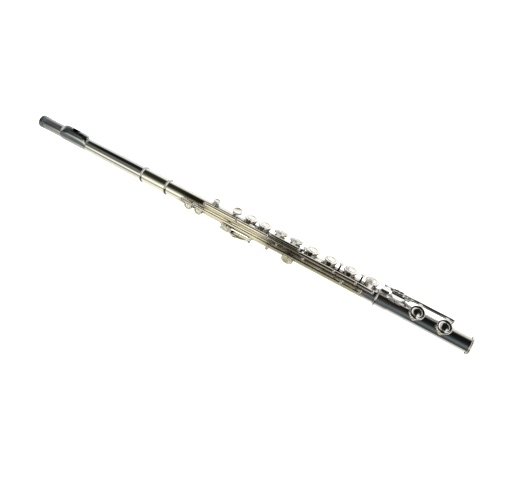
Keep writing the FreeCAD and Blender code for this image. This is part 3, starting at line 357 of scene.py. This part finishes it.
def metal(name, colour, stain, rough=(0.012, 0.045), stain_amount=0.16, scratch=0.05, speck=0.0,
          along=DRAWN, corner_shade_and_stain=0.85, corner_reach=0.0025):
    """Polished plate: slow colour drift, finger haze, fine scratches, darker stain in patches, and painted
    shade with some tarnish darkening corners and the metal under other parts.
    """
    material, n = new_material(name)
    place = n.place()
    haze = n.noise(place, 55.0, detail=4.0)
    patches = n.noise(place, 130.0, detail=5.0, roughness=0.62, distortion=0.6)
    lines = n.noise(n.stretched(place, (60.0, 900.0, 900.0)), 1.0, detail=2.0, roughness=0.7)
    wipes = n.noise(n.stretched(place, (700.0, 90.0, 90.0)), 1.0, detail=2.0, roughness=0.7)
    drift = n.noise(n.stretched(place, along), 18.0, detail=2.0)
    corner = n.add("ShaderNodeAmbientOcclusion", Distance=corner_reach)
    corner.samples = 6
    shut_in = n.math("SUBTRACT", 1.0, corner.outputs["AO"])

    warm = tuple(c * f for c, f in zip(colour, (1.0, 0.985, 0.95)))
    tone = n.mix(drift, colour, warm)
    patch = n.math("MULTIPLY", n.ramp(patches, [(0.45, 0.0), (0.75, 1.0)]), stain_amount)
    tone = n.mix(patch, tone, stain)
    # painted shade, partly tarnish: colour goes towards near-black where ambient occlusion finds parts close
    # by
    corner_shade_and_grime = n.math("MULTIPLY", n.ramp(shut_in, [(0.24, 0.0), (0.56, 1.0)]), corner_shade_and_stain)
    tone = n.mix(corner_shade_and_grime, tone, SHADE_AND_GRIME)
    if speck:
        spots = n.cells(place, 420.0, Randomness=1.0)
        dot = n.math("MULTIPLY", n.ramp(spots, [(0.06, 1.0), (0.12, 0.0)]), speck)
        tone = n.mix(dot, tone, tuple(min(1.0, c * 1.6) for c in colour))

    low, high = rough
    long_marks = n.math("MULTIPLY", n.ramp(lines, [(0.62, 0.0), (0.8, 1.0)]), scratch)
    cross_marks = n.math("MULTIPLY", n.ramp(wipes, [(0.64, 0.0), (0.8, 1.0)]), scratch * 0.6)
    level = n.math("MULTIPLY_ADD", n.ramp(haze, [(0.35, 0.0), (0.72, 1.0)]), high - low, low)
    level = n.math("ADD", level, long_marks)
    level = n.math("ADD", level, cross_marks)
    level = n.math("ADD", level, n.math("MULTIPLY", shut_in, 0.06))

    height = n.math("ADD", n.math("MULTIPLY", lines, 0.5), n.math("MULTIPLY", wipes, 0.3))
    height = n.math("ADD", height, n.math("MULTIPLY", haze, 0.6))
    bump = n.add("ShaderNodeBump", Strength=0.02, Distance=0.0003, Height=height)
    shader = n.add("ShaderNodeBsdfPrincipled", Metallic=1.0, Roughness=level, Normal=bump.outputs[0])
    n.put(shader.inputs["Base Color"], tone)
    n.finish(shader)
    return material


def pad_skin(name):
    """Thin skin over felt: creamy, clouded and faintly creased."""
    material, n = new_material(name)
    place = n.place()
    cloud = n.noise(place, 260.0, detail=5.0)
    edges = n.cells(place, 900.0, feature="DISTANCE_TO_EDGE")
    crease = n.ramp(edges, [(0.0, 0.0), (0.12, 1.0)])
    tone = n.mix(cloud, (0.78, 0.68, 0.48), (0.62, 0.48, 0.30))
    in_crease = n.math("MULTIPLY", n.math("SUBTRACT", 1.0, crease), 0.35)
    tone = n.mix(in_crease, tone, (0.40, 0.28, 0.16))
    height = n.math("ADD", n.math("MULTIPLY", crease, 0.5), n.math("MULTIPLY", cloud, 0.7))
    bump = n.add("ShaderNodeBump", Strength=0.35, Distance=0.0002, Height=height)
    rough = n.math("MULTIPLY_ADD", cloud, 0.25, 0.38)
    shader = n.add("ShaderNodeBsdfPrincipled", Roughness=rough, Normal=bump.outputs[0])
    n.put(shader.inputs["Base Color"], tone)
    shader.inputs["Subsurface Weight"].default_value = 0.15
    shader.inputs["Subsurface Radius"].default_value = (0.002, 0.001, 0.0006)
    shader.inputs["Sheen Weight"].default_value = 0.15
    n.finish(shader)
    return material


def cork(name):
    """Cork with pale and dark grains and darker pores."""
    material, n = new_material(name)
    place = n.place()
    grains = n.math("MULTIPLY", n.cells(place, 1100.0), 0.5)
    cloud = n.noise(place, 420.0, detail=6.0, roughness=0.7)
    pore = n.ramp(n.noise(place, 700.0, detail=2.0), [(0.62, 0.0), (0.7, 1.0)])
    tone = n.mix(cloud, (0.62, 0.42, 0.24), (0.42, 0.26, 0.13))
    tone = n.mix(grains, tone, (0.72, 0.54, 0.34))
    tone = n.mix(pore, tone, (0.12, 0.07, 0.04))
    height = n.math("SUBTRACT", cloud, pore)
    bump = n.add("ShaderNodeBump", Strength=0.6, Distance=0.0004, Height=height)
    shader = n.add("ShaderNodeBsdfPrincipled", Roughness=0.82, Normal=bump.outputs[0])
    n.put(shader.inputs["Base Color"], tone)
    n.finish(shader)
    return material


TARNISH = (0.30, 0.26, 0.18)
# each metal's colour, its stain, and what differs from plain polished plate
METALS = {
    # silver_body's 8 mm reach lets the painted shade darken the tube under rods and cups
    "silver_body": ((0.90, 0.89, 0.86), TARNISH, {"speck": 0.25, "corner_shade_and_stain": 0.95, "corner_reach": 0.008}),
    "silver_head": ((0.92, 0.915, 0.90), TARNISH, {"stain_amount": 0.12, "corner_shade_and_stain": 0.4}),
    "silver_lip": ((0.56, 0.59, 0.63), (0.20, 0.21, 0.23),
                   {"rough": (0.06, 0.14), "stain_amount": 0.25, "corner_shade_and_stain": 0.4}),
    "silver_trim": ((0.88, 0.87, 0.84), TARNISH, {"stain_amount": 0.3, "along": EVERY_WAY}),
    "silver_keys": ((0.95, 0.945, 0.93), TARNISH,
                    {"rough": (0.012, 0.04), "stain_amount": 0.1, "along": EVERY_WAY}),
    "steel": ((0.62, 0.61, 0.59), (0.25, 0.20, 0.15), {"rough": (0.18, 0.32), "along": EVERY_WAY}),
    "blued_spring": ((0.10, 0.13, 0.27), (0.22, 0.14, 0.08), {"rough": (0.2, 0.35), "along": EVERY_WAY}),
    "stopper_brass": ((0.80, 0.62, 0.32), (0.35, 0.24, 0.10), {"rough": (0.15, 0.32), "along": EVERY_WAY}),
}


def make_materials():
    made = {name: metal(name, colour, stain, **more) for name, (colour, stain, more) in METALS.items()}
    made["pad_skin"] = pad_skin("pad_skin")
    made["cork"] = cork("cork")
    for part in frame["record"]["subparts"]:
        for slot in frame["nodes"][part["node"]].material_slots:
            slot.material = made[part["material_slot"]]


# ---------------------------------------------------------------- the scene
make_camera()
make_world()
make_materials()
make_stage(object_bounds()[0].z - TABLE_GAP)
area_light("key_light", (-0.6, -0.5, 1.4), (-0.33, 0, 0), size=(1.6, 1.2), power=14.0)

SCENE.view_settings.view_transform = "Standard"
SCENE.view_settings.look = "None"
